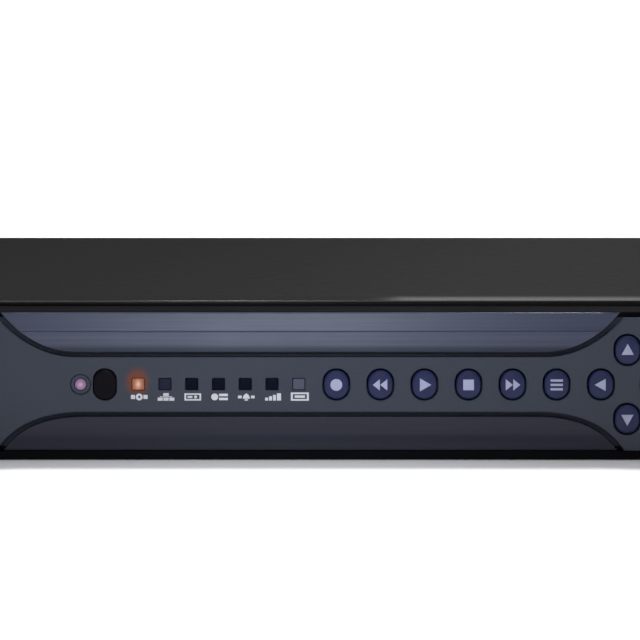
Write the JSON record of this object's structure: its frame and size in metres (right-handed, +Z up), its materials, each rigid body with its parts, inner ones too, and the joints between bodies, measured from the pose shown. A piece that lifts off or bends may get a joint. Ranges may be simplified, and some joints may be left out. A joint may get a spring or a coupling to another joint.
{
  "type": "dvr recorder",
  "caption": "Compact surveillance video recorder in a low steel case with a waisted front panel, a row of keys and status windows, and video, audio and network sockets at the rear.",
  "frame": {"origin": "middle of the case footprint including the rear sockets, at the level of the feet", "axes": "+X right seen from the front, +Y towards the rear sockets, +Z up; the front panel faces -Y"},
  "size_m": [0.3, 0.242, 0.0442],
  "materials": {
    "zinc_steel": "galvanised",
    "rear_paint": "fine texture, matt",
    "cover_paint": "fine texture, matt",
    "black_plastic": "fine texture",
    "panel_grey": "satin",
    "trim_gloss": "gloss",
    "trim_dark": "gloss",
    "ir_window": "gloss, dark tinted",
    "lens_pale": "translucent",
    "lens_lit": "lit amber",
    "lens_dark": "smoked",
    "key_navy": "satin",
    "silicone": "silicone",
    "circuit_board": "solder mask",
    "led_white": "moulded",
    "chip_black": "moulded",
    "cable_grey": "flat cable",
    "socket_ivory": "moulded",
    "heat_sink": "anodised",
    "capacitor_sleeve": "shrink sleeve",
    "steel_plain": "plain",
    "cable_red": "sheath",
    "cable_yellow": "sheath",
    "drive_alloy": "die cast",
    "screw_steel": "zinc plated",
    "screw_black": "black zinc",
    "cable_black": "sheath",
    "nickel": "nickel plated",
    "insulator_white": "moulded",
    "rca_red": "moulded",
    "terminal_green": "moulded",
    "rocker_black": "moulded",
    "rubber_black": "matt"
  },
  "bodies": {
    "recorder": {"chassis_tray": "zinc_steel", "rear_panel": "rear_paint", "top_cover": "cover_paint", "front_bezel": "black_plastic", "fascia_panel": "panel_grey", "upper_trim": "trim_gloss", "lower_trim": "trim_dark", "ir_window": "ir_window", "power_lens": "lens_pale", "status_lens_lit": "lens_lit", "status_lenses": "lens_dark", "key_mat": "silicone", "front_board": "circuit_board", "front_leds": "led_white", "ir_receiver": "chip_black", "ribbon_cable": "cable_grey", "board_sockets": "socket_ivory", "main_board": "circuit_board", "processor": "chip_black", "heat_sink": "heat_sink", "board_chips": "chip_black", "capacitors": "capacitor_sleeve", "coin_cell_holder": "chip_black", "coin_cell": "steel_plain", "sata_cable": "cable_red", "drive_power_cable": "cable_yellow", "drive_plugs": "black_plastic", "drive_casting": "drive_alloy", "drive_lid": "steel_plain", "drive_board": "circuit_board", "drive_screws": "screw_steel", "fan_frame": "black_plastic", "fan_screws": "screw_black", "fan_cable": "cable_black", "bnc_housings": "black_plastic", "bnc_barrels": "nickel", "bnc_inserts": "insulator_white", "rca_jacks": "rca_red", "vga_port": "nickel", "hdmi_port": "nickel", "usb_sockets": "nickel", "lan_port": "nickel", "dc_jack": "black_plastic", "terminal_block": "terminal_green", "rocker_frame": "black_plastic", "feet": "rubber_black", "case_screws": "screw_black", "internal_screws": "screw_steel"},
    "key_record": {"key_record": "key_navy"},
    "key_rewind": {"key_rewind": "key_navy"},
    "key_play": {"key_play": "key_navy"},
    "key_stop": {"key_stop": "key_navy"},
    "key_forward": {"key_forward": "key_navy"},
    "key_menu": {"key_menu": "key_navy"},
    "key_left": {"key_left": "key_navy"},
    "key_up": {"key_up": "key_navy"},
    "key_down": {"key_down": "key_navy"},
    "key_right": {"key_right": "key_navy"},
    "fan_rotor": {"fan_rotor": "black_plastic"},
    "rocker": {"rocker": "rocker_black"}
  },
  "joints": [
    {"name": "key_record_press", "type": "slide", "parent": "recorder", "child": "key_record", "axis": [0, 1, 0], "range_m": [0, 0.0008], "stiffness_N_per_m": 1200, "deforming": ["key_mat"]},
    {"name": "key_rewind_press", "type": "slide", "parent": "recorder", "child": "key_rewind", "axis": [0, 1, 0], "range_m": [0, 0.0008], "stiffness_N_per_m": 1200, "deforming": ["key_mat"]},
    {"name": "key_play_press", "type": "slide", "parent": "recorder", "child": "key_play", "axis": [0, 1, 0], "range_m": [0, 0.0008], "stiffness_N_per_m": 1200, "deforming": ["key_mat"]},
    {"name": "key_stop_press", "type": "slide", "parent": "recorder", "child": "key_stop", "axis": [0, 1, 0], "range_m": [0, 0.0008], "stiffness_N_per_m": 1200, "deforming": ["key_mat"]},
    {"name": "key_forward_press", "type": "slide", "parent": "recorder", "child": "key_forward", "axis": [0, 1, 0], "range_m": [0, 0.0008], "stiffness_N_per_m": 1200, "deforming": ["key_mat"]},
    {"name": "key_menu_press", "type": "slide", "parent": "recorder", "child": "key_menu", "axis": [0, 1, 0], "range_m": [0, 0.0008], "stiffness_N_per_m": 1200, "deforming": ["key_mat"]},
    {"name": "key_left_press", "type": "slide", "parent": "recorder", "child": "key_left", "axis": [0, 1, 0], "range_m": [0, 0.0008], "stiffness_N_per_m": 1200, "deforming": ["key_mat"]},
    {"name": "key_up_press", "type": "slide", "parent": "recorder", "child": "key_up", "axis": [0, 1, 0], "range_m": [0, 0.0008], "stiffness_N_per_m": 1200, "deforming": ["key_mat"]},
    {"name": "key_down_press", "type": "slide", "parent": "recorder", "child": "key_down", "axis": [0, 1, 0], "range_m": [0, 0.0008], "stiffness_N_per_m": 1200, "deforming": ["key_mat"]},
    {"name": "key_right_press", "type": "slide", "parent": "recorder", "child": "key_right", "axis": [0, 1, 0], "range_m": [0, 0.0008], "stiffness_N_per_m": 1200, "deforming": ["key_mat"]},
    {"name": "fan_spin", "type": "hinge", "parent": "recorder", "child": "fan_rotor", "pos_m": [0.112, 0.1, 0.024], "axis": [0, 1, 0], "continuous": true},
    {"name": "rocker_tilt", "type": "hinge", "parent": "recorder", "child": "rocker", "pos_m": [-0.1394, 0.1034, 0.026], "axis": [1, 0, 0], "range_deg": [0, 18]}
  ]
}
